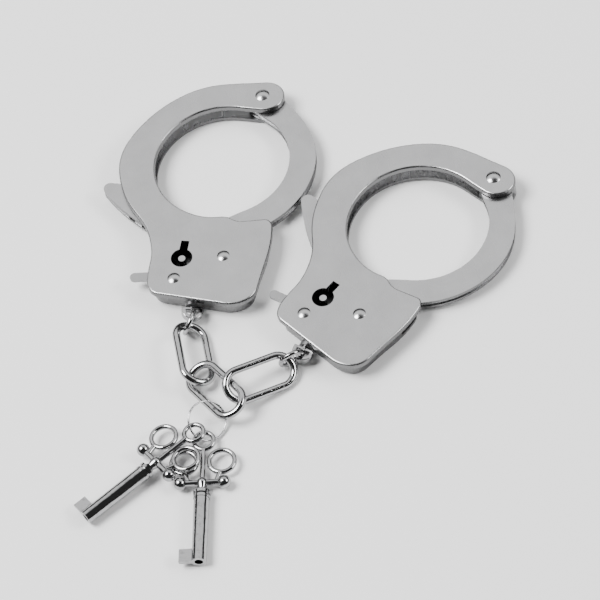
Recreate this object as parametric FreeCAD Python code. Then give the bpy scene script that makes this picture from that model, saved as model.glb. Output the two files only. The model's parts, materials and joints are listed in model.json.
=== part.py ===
import FreeCAD, Part
import math
import os

from FreeCAD import Placement, Rotation, Vector

# A pair of chain-linked handcuffs with two keys, lying flat. Millimetres.
# +Z is up through the cheeks and +Y runs from the keys to the cuffs. The origin is at the middle of the
# object's footprint, on the plane of the back cheeks. Each cuff is drawn in its own frame, with the arm's
# hinge rivet at (0, 0) and the chain leaving towards -Y, and is then laid in its place.

os.makedirs("parts", exist_ok=True)

# ---- driving dimensions: where the cuffs lie ----
LEFT_HINGE, LEFT_TURN = (3.87, 98.14), -3.5
RIGHT_HINGE, RIGHT_TURN = (86.60, 32.93), -34.5

# ---- driving dimensions: how the chain and keys lie: centre, long axis, normal ----
LEFT_RING_PLACE = ((-41.32, -3.9, 5.25), (-0.466, -0.884, -0.039), (-0.83, 0.421, 0.367))
LEFT_LINK_PLACE = ((-41.59, -18.7, 5.01), (0.027, -0.998, 0.053), (0.498, 0.06, 0.865))
MIDDLE_LINK_PLACE = ((-35.71, -37.28, 5.46), (0.487, -0.863, 0.136), (-0.323, -0.033, 0.946))
RIGHT_LINK_PLACE = ((-18.38, -36.54, 6.25), (0.935, 0.305, -0.183), (0.307, -0.433, 0.848))
RIGHT_RING_PLACE = ((-5.19, -30.09, 5.44), (-0.957, -0.209, -0.203), (-0.255, 0.939, 0.232))
KEY_RING_PLACE = ((-40.86, -50.29, 5.48), (-0.324, 0.711, 0.624), (0.435, -0.474, 0.765))
LOWER_KEY_PLACE = ((-46.64, -75.23, 3.25), (-0.175, -0.985, 0.009), (-0.002, 0.009, 1.0))
UPPER_KEY_PLACE = ((-62.28, -63.41, 4.65), (-0.864, -0.503, -0.033), (-0.078, 0.069, 0.995))
SWIVEL_TURNS = (15.3, 9.2)   # the stirrups' turns about their own axes, left and right, degrees

# ---- driving dimensions: the two pressed cheeks ----
THICKNESS = 9.2          # over both cheeks, without the rivet heads
SHEET = 1.0              # sheet thickness of both pressings
FRONT_RIM = 2.3          # depth of the front cheek's turned-down edge
BACK_RIM = 2.1           # depth of the back cheek's turned-up edge
EDGE_ROUND = 0.8         # outer rounding of the pressed edges
HOUSING_WALL_TOP = THICKNESS - SHEET
MIDDLE = THICKNESS / 2

# ---- driving dimensions: the single-strand arm ----
ARM_BOTTOM = 2.5
SKIN, CORE = 1.1, 1.8
CORE_SETBACK = 0.5       # from the skins' edges to the core's, away from the teeth
TOOTH_RADIUS = 76.6      # crest of the toothed edge, from the hinge
TOOTH_DEPTH = 2.2
TOOTH_PITCH = 5.25       # degrees
TOOTH_COUNT = 7
TAIL_INNER = 65.5        # inner edge of the toothed tail, from the hinge
ENGAGED_NOTCH = -114.5   # degrees, the notch that faces the pawl
WALL_CLEARANCE = 1.0     # from the tooth crests to the housing's side wall

# ---- driving dimensions: rivets, post and keyhole ----
HINGE_PIN, HINGE_HEAD = 2.25, 2.9
RUNNING = 0.05           # radial clearance of a running fit
RIVET_PIN, RIVET_HEAD = 1.6, 2.5
PAWL_RIVET = (-22.8, -78.2)
LEVER_RIVET = (-43.0, -85.3)
KEY_POST, POST_RADIUS = (-39.2, -76.2), 1.4
KEYHOLE_RADIUS, SLOT_WIDTH, SLOT_REACH, SLOT_TILT = 4.3, 3.3, 8.3, 15.0

# ---- driving dimensions: lock parts ----
PAWL_LIFT = 12.0         # degrees from engaged to lifted clear of the teeth
NOSE_GAP = 0.7           # from the engaged nose to the bottom of its notch
PAWL_Z, PAWL_THICK = 3.85, 1.3
LEVER_Z, LEVER_THICK = 5.5, 1.1

# ---- driving dimensions: swivel, rings, links and keys ----
SWIVEL = (-37.5, -94.2)  # where the swivel's axis crosses the end wall
SWIVEL_PIN, COLLAR_RADIUS = 1.5, 2.6
WIRE = 1.5               # radius of the link wire
LINK_HALF_STRAIGHT, LINK_HALF_WIDTH = 8.0, 6.0
RING_RADIUS, RING_WIRE = 4.5, 1.0
BUTT_GAP = 0.15
LINK_SEAM = 4.0          # from a link's middle to its seam
KEY_RING_RADIUS, KEY_RING_WIRE = 7.5, 0.3
BOW_BALLS = 8.25         # from a key's axis to the balls of its cross bar
TOP_LOOP, SIDE_LOOP, LOOP_WIRE = 3.7, 4.8, 0.95
KEY_TIP = 33.5           # from the cross bar to the end of the barrel
KEY_BORE, KEY_BORE_DEPTH = 1.6, 20.0
BIT_LENGTH, BIT_REACH = 5.2, 7.4


def vec(point, z=0.0):
    return Vector(point[0], point[1], z)


def polar(radius, degrees):
    angle = math.radians(degrees)
    return (radius * math.cos(angle), radius * math.sin(angle))


def moved(point, step):
    return (point[0] + step[0], point[1] + step[1])


def outline(start, *steps):
    """A closed wire: a step of one point is a line to it, a step of two is an arc through the first."""
    edges, here = [], start
    for step in steps:
        if isinstance(step[0], tuple):
            through, end = step
            edges.append(Part.Arc(vec(here), vec(through), vec(end)).toShape())
        else:
            end = step
            edges.append(Part.LineSegment(vec(here), vec(end)).toShape())
        here = end
    if here != start:
        edges.append(Part.LineSegment(vec(here), vec(start)).toShape())
    return Part.Wire(edges)


def tangent_arc(start, heading, end):
    """The edge from start to end that leaves start along heading."""
    chord = end - start
    side = heading.cross(chord).z
    if abs(side) < 1e-7 * chord.Length:
        return Part.LineSegment(start, end).toShape()
    half_turn = math.atan2(side, heading.dot(chord)) / 2
    bulge = Vector(chord.y, -chord.x, 0) * (math.tan(half_turn) / 2)
    return Part.Arc(start, (start + end) / 2 + bulge, end).toShape()


def flowing(points):
    """A closed wire with no corners: two tangent arcs join each (x, y, heading) to the next."""
    edges = []
    for first, second in zip(points, points[1:] + points[:1]):
        start, end = vec(first), vec(second)
        leave, arrive = (vec(polar(1, p[2])) for p in (first, second))
        gap, both = end - start, leave + arrive
        spread = 1 - leave.dot(arrive)
        if spread < 1e-9:
            reach = gap.dot(gap) / (4 * gap.dot(arrive))
        else:
            root = math.sqrt(gap.dot(both) ** 2 + 2 * spread * gap.dot(gap))
            reach = (root - gap.dot(both)) / (2 * spread)
        middle = (start + end + (leave - arrive) * reach) / 2
        edges.append(tangent_arc(start, leave, middle))
        edges.append(tangent_arc(end, arrive * -1, middle))
    return Part.Wire(Part.__sortEdges__(edges))


def slab(wire, bottom, top):
    shape = Part.Face(wire).extrude(Vector(0, 0, top - bottom))
    shape.translate(Vector(0, 0, bottom))
    return shape


def inset(points, distance):
    """The same points, each moved to its left, which is inwards on an anticlockwise outline."""
    return tuple((*moved(p, polar(distance, p[2] + 90)), p[2]) for p in points)


def inset_slab(points, distance, bottom, top):
    return slab(flowing(inset(points, distance)), bottom, top)


def disc(centre, radius, bottom, top):
    return Part.makeCylinder(radius, top - bottom, vec(centre, bottom))


def sector_ring(inner, outer, bottom, top):
    return disc((0, 0), outer, bottom, top).cut(disc((0, 0), inner, bottom - 1, top + 1))


def bar(start, end, width, bottom, top):
    """A flat bar with round ends between two points."""
    length = math.dist(start, end)
    angle = math.degrees(math.atan2(end[1] - start[1], end[0] - start[0]))
    half = width / 2
    wire = outline((0, -half), (length, -half), ((length + half, 0), (length, half)),
                   (0, half), ((-half, 0), (0, -half)))
    shape = slab(wire, bottom, top)
    shape.Placement = Placement(vec(start), Rotation(Vector(0, 0, 1), angle)).multiply(shape.Placement)
    return shape


def rounded(shape, radius, level):
    """Rounds the outer edges that lie wholly at one level."""
    face = max((f for f in shape.Faces
                if abs(f.BoundBox.ZMin - level) < 1e-6 and abs(f.BoundBox.ZMax - level) < 1e-6),
               key=lambda f: f.Area)
    return shape.makeFillet(radius, face.OuterWire.Edges)


# ---- cheek outlines: points with the heading of travel, in degrees ----
CHEEK_START = (
    (9.0, -0.9, 87), (2.0, 6.9, 173), (-17.0, 9.3, 177), (-45.0, -0.6, 218), (-61.4, -28.5, 270),
    (-56.4, -49.8, 298),
)
CHEEK_OPENING = (
    (-22.5, -58.5, 177), (-40.2, -49.3, 131), (-46.9, -31.0, 90), (-40.2, -12.8, 49), (-19.0, -3.0, 0),
    (-0.6, -7.6, -16),
)
FRONT_HOUSING = (
    (-53.3, -56.0, 292), (-51.0, -68.8, 270), (-53.6, -83.5, 262), (-50.0, -91.6, 340),
    (-24.5, -101.0, 340), (-11.0, -95.8, 71), (-2.4, -67.6, 84), (-5.2, -63.2, 175), (-13.5, -62.5, 175),
)
BACK_HOUSING = (
    (-51.5, -57.0, 296), (-49.8, -69.0, 270), (-51.8, -83.2, 262), (-48.2, -90.5, 340),
    (-25.0, -99.0, 340), (-12.7, -94.8, 71), (-4.2, -69.0, 83), (-6.8, -64.9, 175), (-14.0, -64.2, 175),
)
FRONT_OUTLINE = CHEEK_START + FRONT_HOUSING + CHEEK_OPENING
BACK_OUTLINE = CHEEK_START + BACK_HOUSING + CHEEK_OPENING


def countersink(centre, pin):
    """The cone that a flush back head fills, from its wide end at z = 0."""
    return Part.makeCone(pin + 0.8, pin, 0.8, vec(centre))


def rivet(centre, pin, head, dome):
    """Domed on the front, peened flush at the back."""
    body = disc(centre, pin, 0, THICKNESS).fuse(countersink(centre, pin))
    ball = (head ** 2 + dome ** 2) / (2 * dome)
    cap = Part.makeSphere(ball, vec(centre, THICKNESS + dome - ball))
    cap = cap.common(disc(centre, head, THICKNESS, THICKNESS + 2 * dome))
    return body.fuse(cap).removeSplitter()


def keyhole_cut():
    """Through the front sheet: round for the barrel, with a slot for the bit."""
    bottom, top = HOUSING_WALL_TOP - 1, THICKNESS + 1
    square = outline((-SLOT_WIDTH / 2, 0), (SLOT_WIDTH / 2, 0), (SLOT_WIDTH / 2, SLOT_REACH),
                     (-SLOT_WIDTH / 2, SLOT_REACH))
    cut = disc((0, 0), KEYHOLE_RADIUS, bottom, top).fuse(slab(square, bottom, top))
    cut.rotate(Vector(0, 0, 0), Vector(0, 0, 1), -SLOT_TILT)
    cut.translate(vec(KEY_POST))
    return cut


def front_plate():
    """Dished pressing: cheek, hinge ear and lock-housing front in one."""
    shape = inset_slab(FRONT_OUTLINE, 0, THICKNESS - FRONT_RIM, THICKNESS)
    shape = rounded(shape, EDGE_ROUND, THICKNESS)
    shape = shape.cut(inset_slab(FRONT_OUTLINE, SHEET, THICKNESS - FRONT_RIM, HOUSING_WALL_TOP))
    shape = shape.cut(keyhole_cut()).cut(swivel_bore(COLLAR_RADIUS))
    for centre, pin in (((0, 0), HINGE_PIN), (PAWL_RIVET, RIVET_PIN), (LEVER_RIVET, RIVET_PIN)):
        shape = shape.cut(disc(centre, pin, 0, THICKNESS + 1))
    return shape


def back_plate():
    """Dished pressing whose edge stands up as the lock housing's side wall, open where the arm passes."""
    shape = inset_slab(BACK_OUTLINE, 0, 0, HOUSING_WALL_TOP)
    shape = rounded(shape, EDGE_ROUND, 0)
    shape = shape.cut(inset_slab(BACK_OUTLINE, SHEET, SHEET, HOUSING_WALL_TOP))
    shape = shape.cut(disc((0, 0), TOOTH_RADIUS + WALL_CLEARANCE, BACK_RIM, THICKNESS))
    tab_slot = Part.makeBox(10, 6.6, LEVER_THICK + 0.8, Vector(-58, -84.8, LEVER_Z - 0.4))
    shape = shape.cut(tab_slot).cut(swivel_bore(COLLAR_RADIUS))
    for centre, pin in (((0, 0), HINGE_PIN), (PAWL_RIVET, RIVET_PIN), (LEVER_RIVET, RIVET_PIN),
                        (KEY_POST, POST_RADIUS)):
        shape = shape.cut(disc(centre, pin, -1, THICKNESS)).cut(countersink(centre, pin))
    return shape


# ---- arm ----
def on_circle(radius, degrees, side):
    """A point of a circle round the hinge, headed along it: side 1 anticlockwise, -1 clockwise."""
    return (*polar(radius, degrees), degrees + 90 * side)


ARM_OUTLINE = (
    (5.6, 4.2, 119), (-4.95, 4.9, 225), (-4.0, -5.7, 320),
    (1.2, -11.2, 312), (7.9, -28.5, 271), (-12.0, -55.4, 196),
    on_circle(TAIL_INNER, -117.4, -1), on_circle(TAIL_INNER, -146.6, -1),
    (-58.2, -33.7, 162), (-65.0, -31.4, 162),
    on_circle(TOOTH_RADIUS, -152.7, 1), on_circle(TOOTH_RADIUS, -107.5, 1),
    (-2.5, -63.0, 27), (17.9, -36.0, 79), (9.3, -3.6, 123),
)


def arm_skin(bottom):
    shape = inset_slab(ARM_OUTLINE, 0, bottom, bottom + SKIN)
    return shape.cut(disc((0, 0), HINGE_PIN + RUNNING, 0, THICKNESS))


def arm_core():
    """Middle layer: set back from the skins round the ring, and notched along the tail."""
    bottom, top = ARM_BOTTOM + SKIN, ARM_BOTTOM + SKIN + CORE
    crest = inset_slab(ARM_OUTLINE, 0.15, bottom, top).common(sector_ring(72.0, 80.0, bottom, top))
    shape = inset_slab(ARM_OUTLINE, CORE_SETBACK, bottom, top).fuse(crest).removeSplitter()
    for number in range(TOOTH_COUNT):
        root = ENGAGED_NOTCH + TOOTH_PITCH * (1 - number)
        notch = outline(polar(TOOTH_RADIUS + 1, root), polar(TOOTH_RADIUS - TOOTH_DEPTH, root),
                        polar(TOOTH_RADIUS + 1, root + 0.75 * TOOTH_PITCH))
        shape = shape.cut(slab(notch, bottom, top))
    return shape.cut(disc((0, 0), HINGE_PIN + RUNNING, 0, THICKNESS))


def hinge_washer(bottom, top):
    return disc((0, 0), 4.4, bottom, top).cut(disc((0, 0), HINGE_PIN, 0, THICKNESS))


# ---- lock ----
def pawl():
    """Drawn engaged, then turned about its rivet to stand lifted."""
    top = PAWL_Z + PAWL_THICK
    tip = polar(TOOTH_RADIUS - TOOTH_DEPTH + NOSE_GAP, ENGAGED_NOTCH + 0.6)
    away, along = polar(1, ENGAGED_NOTCH), polar(1, ENGAGED_NOTCH + 90)
    left = moved(tip, (4.0 * away[0], 4.0 * away[1]))
    right = moved(tip, (3.4 * away[0] + 3.0 * along[0], 3.4 * away[1] + 3.0 * along[1]))
    nose = outline(tip, left, (-26.0, -77.5), (-20.6, -75.6), right)
    shape = slab(nose, PAWL_Z, top).fuse(disc(PAWL_RIVET, 3.4, PAWL_Z, top))
    shape = shape.fuse(bar(PAWL_RIVET, (-33.4, -79.6), 2.6, PAWL_Z, top)).removeSplitter()
    shape = shape.cut(disc(PAWL_RIVET, RIVET_PIN + RUNNING, 0, THICKNESS))
    shape.rotate(vec(PAWL_RIVET), Vector(0, 0, 1), PAWL_LIFT)
    return shape


def pawl_spring():
    """A turn of wire round the pawl rivet, with a leg to the housing's side and one over the pawl."""
    wire, coil = 0.25, RIVET_PIN + 0.6
    shape = Part.makeTorus(coil, wire)
    for side, reach, turn in ((1, 7.0, 60), (-1, 5.0, 200)):
        leg = Part.makeCylinder(wire, reach, Vector(side * coil, 0, 0), Vector(0, 1, 0))
        leg.rotate(Vector(0, 0, 0), Vector(0, 0, 1), turn)
        shape = shape.fuse(leg)
    shape.translate(vec(PAWL_RIVET, PAWL_Z + PAWL_THICK + 1.0))
    return shape.removeSplitter()


def release_lever():
    """Pivots on its rivet: the tab reaches out of the side, the lug bears on the pawl's tail."""
    top = LEVER_Z + LEVER_THICK
    bend, lug = (-31.0, -84.2), (-29.3, -77.8)
    shape = disc(LEVER_RIVET, 3.2, LEVER_Z, top)
    for start, end, width in ((LEVER_RIVET, (-51.6, -80.9), 3.8), ((-51.6, -80.9), (-58.6, -80.0), 3.8),
                              (LEVER_RIVET, bend, 2.8), (bend, lug, 2.4)):
        shape = shape.fuse(bar(start, end, width, LEVER_Z, top))
    shape = shape.fuse(disc(lug, 1.0, PAWL_Z, top)).removeSplitter()
    return shape.cut(disc(LEVER_RIVET, RIVET_PIN + RUNNING, 0, THICKNESS))


def key_post():
    shape = disc(KEY_POST, POST_RADIUS, 0, THICKNESS - 0.4).fuse(countersink(KEY_POST, POST_RADIUS))
    return shape.removeSplitter()


# ---- swivel ----
def swivel_cylinder(radius, start, length):
    """A cylinder on the swivel's axis, from so far outside the wall towards the chain."""
    return Part.makeCylinder(radius, length, Vector(SWIVEL[0], SWIVEL[1] - start, MIDDLE), Vector(0, -1, 0))


def swivel_bore(radius):
    return swivel_cylinder(radius, -3.0, 8.0)


def swivel_collar():
    return swivel_cylinder(COLLAR_RADIUS, -1.6, 4.7).cut(swivel_cylinder(SWIVEL_PIN + RUNNING, -3, 8))


def swivel(turn):
    """Headed pin and a stirrup of flat strap."""
    shape = swivel_cylinder(2.9, -3.2, 1.0).fuse(swivel_cylinder(SWIVEL_PIN, -3.2, 7.5))
    top, depth, strap, half = 3.65, 7.6, 1.35, 4.1
    outer = outline((-half, -top), (half, -top), (half, -5.4), ((2.7, -8.4), (0, -9.2)),
                    ((-2.7, -8.4), (-half, -5.4)))
    inside = half - strap
    inner = outline((-inside, -top - strap), (inside, -top - strap), (inside, -5.2),
                    ((1.6, -7.1), (0, -depth)), ((-1.6, -7.1), (-inside, -5.2)))
    stirrup = slab(outer, -1.3, 1.3).cut(slab(inner, -1.3, 1.3))
    stirrup = stirrup.makeFillet(0.35, [e for e in stirrup.Edges if e.Length > 3.5])
    stirrup.rotate(Vector(0, 0, 0), Vector(0, 1, 0), turn)
    stirrup.translate(Vector(SWIVEL[0], SWIVEL[1], MIDDLE))
    return shape.fuse(stirrup).removeSplitter()


# ---- chain and keys ----
def link():
    """Oval of round wire with the seam where its ends butt."""
    straight, half = LINK_HALF_STRAIGHT, LINK_HALF_WIDTH
    path = outline((0, -half), (straight, -half), ((straight + half, 0), (straight, half)),
                   (-straight, half), ((-straight - half, 0), (-straight, -half)))
    section = Part.Wire(Part.makeCircle(WIRE, Vector(0, -half, 0), Vector(1, 0, 0)))
    shape = path.makePipeShell([section], True, False)
    seam = Part.makeBox(BUTT_GAP, 4 * WIRE, 4 * WIRE, Vector(LINK_SEAM, half - 2 * WIRE, -2 * WIRE))
    return shape.cut(seam)


def ring():
    seam = Part.makeBox(4 * RING_WIRE, BUTT_GAP, 4 * RING_WIRE,
                        Vector(RING_RADIUS - 2 * RING_WIRE, 0, -2 * RING_WIRE))
    return Part.makeTorus(RING_RADIUS, RING_WIRE).cut(seam)


def key_ring():
    """Split ring: two turns of thin wire."""
    coil = Part.Wire(Part.makeHelix(2.2 * KEY_RING_WIRE, 4.2 * KEY_RING_WIRE, KEY_RING_RADIUS).Edges)
    section = Part.Wire(Part.makeCircle(KEY_RING_WIRE, Vector(KEY_RING_RADIUS, 0, 0), Vector(0, 1, 0)))
    shape = coil.makePipeShell([section], True, True)
    shape.translate(Vector(0, 0, -2.1 * KEY_RING_WIRE))
    return shape


def rod(start, end, radius, end_radius=None):
    """A round or tapered rod between two points of the key's plane."""
    way = vec(end) - vec(start)
    if end_radius is None:
        return Part.makeCylinder(radius, way.Length, vec(start), way)
    return Part.makeCone(radius, end_radius, way.Length, vec(start), way)


def key():
    """Hollow-barrel key: the cross bar lies on local y, the shank runs along +x and the bit points to -y."""
    shape = rod((0, -BOW_BALLS), (0, BOW_BALLS), 1.2)
    for side in (-1, 1):
        ball = vec((0, side * BOW_BALLS))
        shape = shape.fuse(Part.makeSphere(2.5, ball))
        loop = Part.makeTorus(SIDE_LOOP, LOOP_WIRE, vec((-9.0, side * 7.1)))
        shape = shape.fuse(loop).fuse(rod((0, side * 5.2), (-4.4, side * 6.6), 1.0))
    shape = shape.fuse(Part.makeTorus(TOP_LOOP, LOOP_WIRE, vec((-18.2, 0))))
    shape = shape.fuse(rod((0, 0), (-14.5, 0), 1.1)).fuse(Part.makeSphere(2.1))
    for start, end, first, last in ((1.0, 2.6, 2.0, 1.5), (2.6, 4.0, 1.5, 2.4), (4.0, 5.2, 3.25, 3.25),
                                    (5.2, 6.0, 2.7, 2.7), (6.0, 7.0, 3.1, 3.1)):
        shape = shape.fuse(rod((start, 0), (end, 0), first, last + 0.001))
    shape = shape.fuse(rod((7.0, 0), (KEY_TIP, 0), 2.9, 2.75))
    bit = Part.makeBox(BIT_LENGTH, BIT_REACH, 1.8, Vector(KEY_TIP - BIT_LENGTH, -BIT_REACH, -0.9))
    shape = shape.fuse(bit)
    return shape.cut(rod((KEY_TIP - KEY_BORE_DEPTH, 0), (KEY_TIP + 1, 0), KEY_BORE)).removeSplitter()


def placed(shape, centre, long_axis, normal):
    """Lays a flat piece with its local x along long_axis and its local z along normal."""
    x = Vector(*long_axis).normalize()
    z = Vector(*normal)
    z = (z - x * z.dot(x)).normalize()
    shape.Placement = Placement(Vector(*centre), Rotation(x, z.cross(x), z, "ZXY")).multiply(shape.Placement)
    return shape


def cuff(side, hinge, turn, swivel_turn):
    pieces = {
        "front_plate": front_plate(),
        "back_plate": back_plate(),
        "arm_front_skin": arm_skin(ARM_BOTTOM + SKIN + CORE),
        "arm_core": arm_core(),
        "arm_back_skin": arm_skin(ARM_BOTTOM),
        "hinge_rivet": rivet((0, 0), HINGE_PIN, HINGE_HEAD, 0.9),
        "hinge_washer_back": hinge_washer(SHEET, ARM_BOTTOM - RUNNING),
        "hinge_washer_front": hinge_washer(ARM_BOTTOM + 2 * SKIN + CORE + RUNNING, HOUSING_WALL_TOP),
        "pawl_rivet": rivet(PAWL_RIVET, RIVET_PIN, RIVET_HEAD, 0.7),
        "lever_rivet": rivet(LEVER_RIVET, RIVET_PIN, RIVET_HEAD, 0.7),
        "key_post": key_post(),
        "pawl": pawl(),
        "pawl_spring": pawl_spring(),
        "release_lever": release_lever(),
        "swivel": swivel(swivel_turn),
        "swivel_collar": swivel_collar(),
    }
    place = Placement(vec(hinge), Rotation(Vector(0, 0, 1), turn))
    for shape in pieces.values():
        shape.Placement = place.multiply(shape.Placement)
    return {side + "_" + name: shape for name, shape in pieces.items()}


NODES = {}
NODES.update(cuff("left", LEFT_HINGE, LEFT_TURN, SWIVEL_TURNS[0]))
NODES.update(cuff("right", RIGHT_HINGE, RIGHT_TURN, SWIVEL_TURNS[1]))
NODES["left_ring"] = placed(ring(), *LEFT_RING_PLACE)
NODES["link_left"] = placed(link(), *LEFT_LINK_PLACE)
NODES["link_middle"] = placed(link(), *MIDDLE_LINK_PLACE)
NODES["link_right"] = placed(link(), *RIGHT_LINK_PLACE)
NODES["right_ring"] = placed(ring(), *RIGHT_RING_PLACE)
NODES["key_ring"] = placed(key_ring(), *KEY_RING_PLACE)
NODES["key_lower"] = placed(key(), *LOWER_KEY_PLACE)
NODES["key_upper"] = placed(key(), *UPPER_KEY_PLACE)

for name, shape in NODES.items():
    solids = shape.Solids
    shape = solids[0] if len(solids) == 1 else shape
    print(name, "solids", len(solids), "valid", shape.isValid(), "volume", round(shape.Volume, 1))
    shape.exportStep(os.path.join("parts", name + ".step"))
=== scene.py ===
import json
import math

import bpy
from mathutils import Matrix, Vector

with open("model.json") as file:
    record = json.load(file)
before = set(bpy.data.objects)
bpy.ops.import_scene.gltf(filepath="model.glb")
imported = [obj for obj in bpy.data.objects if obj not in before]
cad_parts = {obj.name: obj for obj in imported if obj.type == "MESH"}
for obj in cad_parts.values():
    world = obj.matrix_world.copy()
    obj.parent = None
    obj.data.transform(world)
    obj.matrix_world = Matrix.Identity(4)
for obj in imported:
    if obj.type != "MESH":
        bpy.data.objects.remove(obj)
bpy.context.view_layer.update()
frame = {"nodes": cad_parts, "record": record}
MM = 0.001

# ---- camera, in the row frame ----
LOOK_AT = Vector((2.3 * MM, -6.8 * MM, 9.2 * MM))
CAMERA_DISTANCE = 0.941
CAMERA_ELEVATION = math.radians(54.4)
CAMERA_ROLL = math.radians(-11.46)
CAMERA_LENS = 146.8

# ---- surroundings ----
FLOOR_SIZE = 4.0
FLOOR_LEVEL = -0.2 * MM    # just under the cuffs' flat backs
FLOOR_GREY = 0.95
ROOM_STRENGTH = 1.8
ROOM_SEEN_DIRECTLY = 0.55  # the room's grey where the camera looks past the floor
ROOM_BELOW, ROOM_TOP = (0.55, 0.55, 0.56, 1), (0.55, 0.55, 0.56, 1)
# greys between the horizon, at 0.5, and straight up, at 1
ROOM_BANDS = ((0.53, 0.02), (0.71, 0.03), (0.78, 0.95), (0.93, 1.0))
UNLIT_GREY = 0.03
UNLIT_HALF_ANGLE = 50.0    # of the dark patch of room behind the camera, degrees
UNLIT_SOFTNESS = 8.0       # half the width of that patch's soft edge, degrees
LIGHTS = (                 # name, place, size, power
    ("key", (-0.9, 0.1, 1.5), (0.8, 0.8), 48.0),
    ("fill", (1.3, -0.3, 1.1), (0.8, 0.5), 16.0),
)

# ---- surfaces ----
SHARPEST_SMOOTH_EDGE = math.radians(32)
PAINTED_WALL_SHADE = 0.45          # painted shade: how dark plated walls are painted beside plated faces, standing in for the darker room they reflect
WALL_TILT, FACE_TILT = 0.35, 0.93   # upward part of the normal on full wall and on full face, between which the painted wall shade fades


# ---- node helpers ----
class Surface:
    """A metal material with its node tree and a few shorthand calls."""

    def __init__(self, name, colour, roughness):
        self.material = bpy.data.materials.new(name)
        self.material.use_nodes = True
        self.nodes = self.material.node_tree.nodes
        self.links = self.material.node_tree.links
        self.shader = self.nodes["Principled BSDF"]
        self.shader.inputs["Metallic"].default_value = 1.0
        self.shader.inputs["Base Color"].default_value = (*colour, 1)
        self.shader.inputs["Roughness"].default_value = roughness
        coordinates = self.nodes.new("ShaderNodeTexCoord")
        self.place, self.normal = coordinates.outputs["Object"], coordinates.outputs["Normal"]

    def noise(self, scale, detail=4.0, rough=0.5, stretch=None):
        """Noise over the object's own coordinates, with features about 1/scale metres across."""
        node = self.nodes.new("ShaderNodeTexNoise")
        node.inputs["Scale"].default_value = scale
        node.inputs["Detail"].default_value = detail
        node.inputs["Roughness"].default_value = rough
        source = self.place
        if stretch:
            mapping = self.nodes.new("ShaderNodeMapping")
            mapping.inputs["Scale"].default_value = stretch
            self.links.new(source, mapping.inputs["Vector"])
            source = mapping.outputs["Vector"]
        self.links.new(source, node.inputs["Vector"])
        return node.outputs["Fac"]

    def ramp(self, source, low, high, from_low=0.3, from_high=0.7):
        """The source's band, 0.3 to 0.7 unless said, stretched to run from low to high."""
        node = self.nodes.new("ShaderNodeMapRange")
        node.inputs["From Min"].default_value = from_low
        node.inputs["From Max"].default_value = from_high
        node.inputs["To Min"].default_value = low
        node.inputs["To Max"].default_value = high
        self.links.new(source, node.inputs["Value"])
        return node.outputs["Result"]

    def colour_by(self, factor, first, second):
        """The first colour where the factor is 0, the second where it is 1; a colour may be a socket."""
        node = self.nodes.new("ShaderNodeMix")
        node.data_type = "RGBA"
        for socket, colour in ((node.inputs["A"], first), (node.inputs["B"], second)):
            if isinstance(colour, bpy.types.NodeSocket):
                self.links.new(colour, socket)
            else:
                socket.default_value = (*colour, 1)
        self.links.new(factor, node.inputs["Factor"])
        return node.outputs["Result"]

    def paint_wall_shade(self, face, wall):
        """The face colour on level surfaces, giving way to the wall colour on upright ones: painted shade,
        standing in for the darker room that upright walls reflect.
        """
        axes = self.nodes.new("ShaderNodeSeparateXYZ")
        self.links.new(self.normal, axes.inputs["Vector"])
        upward = self.nodes.new("ShaderNodeMath")
        upward.operation = "ABSOLUTE"
        self.links.new(axes.outputs["Z"], upward.inputs[0])
        upright = self.ramp(upward.outputs["Value"], 1.0, 0.0, WALL_TILT, FACE_TILT)
        return self.colour_by(upright, face, wall)

    def set(self, socket, source):
        self.links.new(source, self.shader.inputs[socket])

    def bump(self, height, depth):
        """Relief of this depth in metres, over any relief that the shader has already."""
        node = self.nodes.new("ShaderNodeBump")
        node.inputs["Distance"].default_value = depth
        node.inputs["Strength"].default_value = 1.0
        self.links.new(height, node.inputs["Height"])
        previous = self.shader.inputs["Normal"].links
        if previous:
            self.links.new(previous[0].from_socket, node.inputs["Normal"])
        self.links.new(node.outputs["Normal"], self.shader.inputs["Normal"])


def satin_nickel(name, light, dark, roughness):
    """Plated sheet: a faint mottle, fine peel, a few rubbed streaks, and painted shade on its upright walls.
    """
    surface = Surface(name, light, roughness)
    mottle = surface.noise(90.0, 5.0, 0.6)
    face = surface.colour_by(surface.ramp(mottle, 0.0, 1.0), light, dark)
    # painted shade: upright walls take a darker colour, as if they reflected a darker room
    surface.set("Base Color", surface.paint_wall_shade(face, [PAINTED_WALL_SHADE * part for part in dark]))
    rub = surface.noise(260.0, 3.0, 0.5, stretch=(1.0, 0.25, 1.0))
    surface.set("Roughness", surface.ramp(rub, roughness - 0.05, roughness + 0.06))
    surface.bump(surface.noise(1800.0, 3.0, 0.6), 0.012 * MM)
    surface.bump(surface.noise(70.0, 2.0, 0.5), 0.03 * MM)
    return surface.material


def bright_plate(name, colour, shade, roughness, ripple):
    """Bright plating over wire and castings: clear reflections, a soft ripple and fine wear."""
    surface = Surface(name, colour, roughness)
    wear = surface.noise(420.0, 6.0, 0.7)
    surface.set("Base Color", surface.colour_by(surface.ramp(wear, 0.0, 1.0, 0.52, 0.75), colour, shade))
    surface.set("Roughness", surface.ramp(wear, roughness, roughness + 0.14, 0.5, 0.8))
    surface.bump(surface.noise(220.0, 2.0, 0.5), ripple)
    return surface.material


def tool_steel(name, colour, shade, roughness):
    """Turned or ground steel with fine tool lines."""
    surface = Surface(name, colour, roughness)
    lines = surface.noise(900.0, 2.0, 0.5, stretch=(1.0, 0.08, 1.0))
    surface.set("Base Color", surface.colour_by(lines, colour, shade))
    surface.set("Roughness", surface.ramp(lines, roughness - 0.06, roughness + 0.08))
    surface.bump(lines, 0.01 * MM)
    return surface.material


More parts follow.
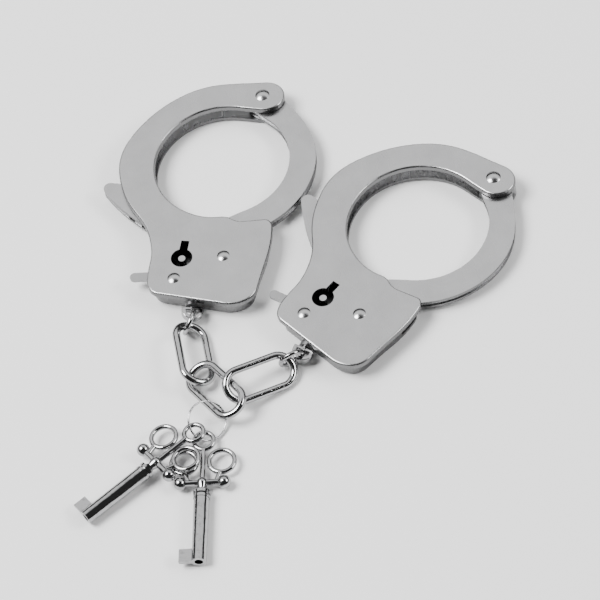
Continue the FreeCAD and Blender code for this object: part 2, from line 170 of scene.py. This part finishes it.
MATERIALS = {
    "pressed_nickel": satin_nickel("pressed nickel", (0.42, 0.42, 0.424), (0.375, 0.375, 0.379), 0.27),
    "arm_nickel": satin_nickel("arm nickel", (0.42, 0.42, 0.424), (0.37, 0.37, 0.374), 0.27),
    "arm_core_nickel": tool_steel("arm core nickel", (0.33, 0.33, 0.334), (0.22, 0.22, 0.224), 0.30),
    "rivet_steel": satin_nickel("rivet nickel", (0.44, 0.44, 0.444), (0.40, 0.40, 0.404), 0.22),
    "plain_steel": tool_steel("plain steel", (0.34, 0.34, 0.344), (0.24, 0.24, 0.244), 0.35),
    "lock_steel": tool_steel("lock steel", (0.36, 0.36, 0.364), (0.30, 0.30, 0.304), 0.30),
    "chain_chrome": bright_plate("chain chrome", (0.38, 0.38, 0.384), (0.24, 0.24, 0.243), 0.08, 0.12 * MM),
    "key_ring_wire": bright_plate("key ring wire", (0.36, 0.36, 0.364), (0.28, 0.28, 0.283), 0.14, 0.03 * MM),
    "key_chrome": bright_plate("key chrome", (0.36, 0.36, 0.364), (0.22, 0.22, 0.223), 0.09, 0.16 * MM),
}


def dress_nodes():
    """Each CAD node keeps its mesh and takes its slot's material, shaded smooth but for its sharp edges."""
    slots = {row["node"]: row["material_slot"] for row in frame["record"]["subparts"]}
    for name, node in frame["nodes"].items():
        node.data.shade_smooth()
        node.data.set_sharp_from_angle(angle=SHARPEST_SMOOTH_EDGE)
        material = MATERIALS[slots[name]]
        if node.material_slots:
            for slot in node.material_slots:
                slot.material = material
        else:
            node.data.materials.append(material)


def floor():
    """A plain sheet of pale paper."""
    mesh = bpy.data.meshes.new("floor")
    half = FLOOR_SIZE / 2
    corners = ((-half, -half), (half, -half), (half, half), (-half, half))
    mesh.from_pydata([(x, y, FLOOR_LEVEL) for x, y in corners], [], [(0, 1, 2, 3)])
    piece = bpy.data.objects.new("floor", mesh)
    bpy.context.scene.collection.objects.link(piece)
    material = bpy.data.materials.new("white paper")
    material.use_nodes = True
    shader = material.node_tree.nodes["Principled BSDF"]
    shader.inputs["Base Color"].default_value = (FLOOR_GREY, FLOOR_GREY, FLOOR_GREY, 1)
    shader.inputs["Roughness"].default_value = 0.9
    shader.inputs["Specular IOR Level"].default_value = 0.1
    mesh.materials.append(material)


def area_light(name, place, size, power):
    """A rectangular softbox that faces the part's middle."""
    data = bpy.data.lights.new(name, "AREA")
    data.shape = "RECTANGLE"
    data.size, data.size_y = size
    data.energy = power
    light = bpy.data.objects.new(name, data)
    light.location = place
    light.rotation_euler = (-Vector(place)).to_track_quat("-Z", "Y").to_euler()
    bpy.context.scene.collection.objects.link(light)


def studio():
    """A pale room, with a dark band round its horizon and a dark side for bright metal to pick up."""
    world = bpy.data.worlds.new("studio")
    bpy.context.scene.world = world
    world.use_nodes = True
    nodes, links = world.node_tree.nodes, world.node_tree.links
    background = nodes["Background"]
    place = nodes.new("ShaderNodeTexCoord")
    axes = nodes.new("ShaderNodeSeparateXYZ")
    links.new(place.outputs["Generated"], axes.inputs["Vector"])
    height = nodes.new("ShaderNodeMapRange")
    height.inputs["From Min"].default_value = -1.0
    links.new(axes.outputs["Z"], height.inputs["Value"])
    ramp = nodes.new("ShaderNodeValToRGB")
    stops = ramp.color_ramp
    stops.elements[0].position, stops.elements[0].color = 0.50, ROOM_BELOW
    stops.elements[1].position, stops.elements[1].color = 1.0, ROOM_TOP
    for position, grey in ROOM_BANDS:
        stops.elements.new(position).color = (grey, grey, grey, 1)
    links.new(height.outputs["Result"], ramp.inputs["Fac"])
    # the unlit side of the room, where the camera stands
    toward = nodes.new("ShaderNodeVectorMath")
    toward.operation = "DOT_PRODUCT"
    toward.inputs[1].default_value = (0, -math.cos(CAMERA_ELEVATION), math.sin(CAMERA_ELEVATION))
    links.new(place.outputs["Generated"], toward.inputs[0])
    unlit = nodes.new("ShaderNodeMapRange")
    unlit.inputs["From Min"].default_value = math.cos(math.radians(UNLIT_HALF_ANGLE + UNLIT_SOFTNESS))
    unlit.inputs["From Max"].default_value = math.cos(math.radians(UNLIT_HALF_ANGLE - UNLIT_SOFTNESS))
    links.new(toward.outputs["Value"], unlit.inputs["Value"])
    room = nodes.new("ShaderNodeMix")
    room.data_type = "RGBA"
    room.inputs["B"].default_value = (UNLIT_GREY, UNLIT_GREY, UNLIT_GREY, 1)
    links.new(unlit.outputs["Result"], room.inputs["Factor"])
    links.new(ramp.outputs["Color"], room.inputs["A"])
    seen = nodes.new("ShaderNodeLightPath")
    mix = nodes.new("ShaderNodeMix")
    mix.data_type = "RGBA"
    mix.inputs["B"].default_value = (ROOM_SEEN_DIRECTLY, ROOM_SEEN_DIRECTLY, ROOM_SEEN_DIRECTLY, 1)
    links.new(seen.outputs["Is Camera Ray"], mix.inputs["Factor"])
    links.new(room.outputs["Result"], mix.inputs["A"])
    links.new(mix.outputs["Result"], background.inputs["Color"])
    background.inputs["Strength"].default_value = ROOM_STRENGTH
    for light in LIGHTS:
        area_light(*light)


def camera():
    """The photograph's view: from the front, well above, and leaning a little."""
    data = bpy.data.cameras.new("camera")
    data.lens = CAMERA_LENS
    data.sensor_width = 36.0
    piece = bpy.data.objects.new("camera", data)
    outward = Vector((0, -math.cos(CAMERA_ELEVATION), math.sin(CAMERA_ELEVATION)))
    place = Matrix.Translation(LOOK_AT + outward * CAMERA_DISTANCE)
    facing = (-outward).to_track_quat("-Z", "Y").to_matrix().to_4x4()
    piece.matrix_world = place @ facing @ Matrix.Rotation(CAMERA_ROLL, 4, "Z")
    bpy.context.scene.collection.objects.link(piece)
    bpy.context.scene.camera = piece


dress_nodes()
floor()
studio()
camera()
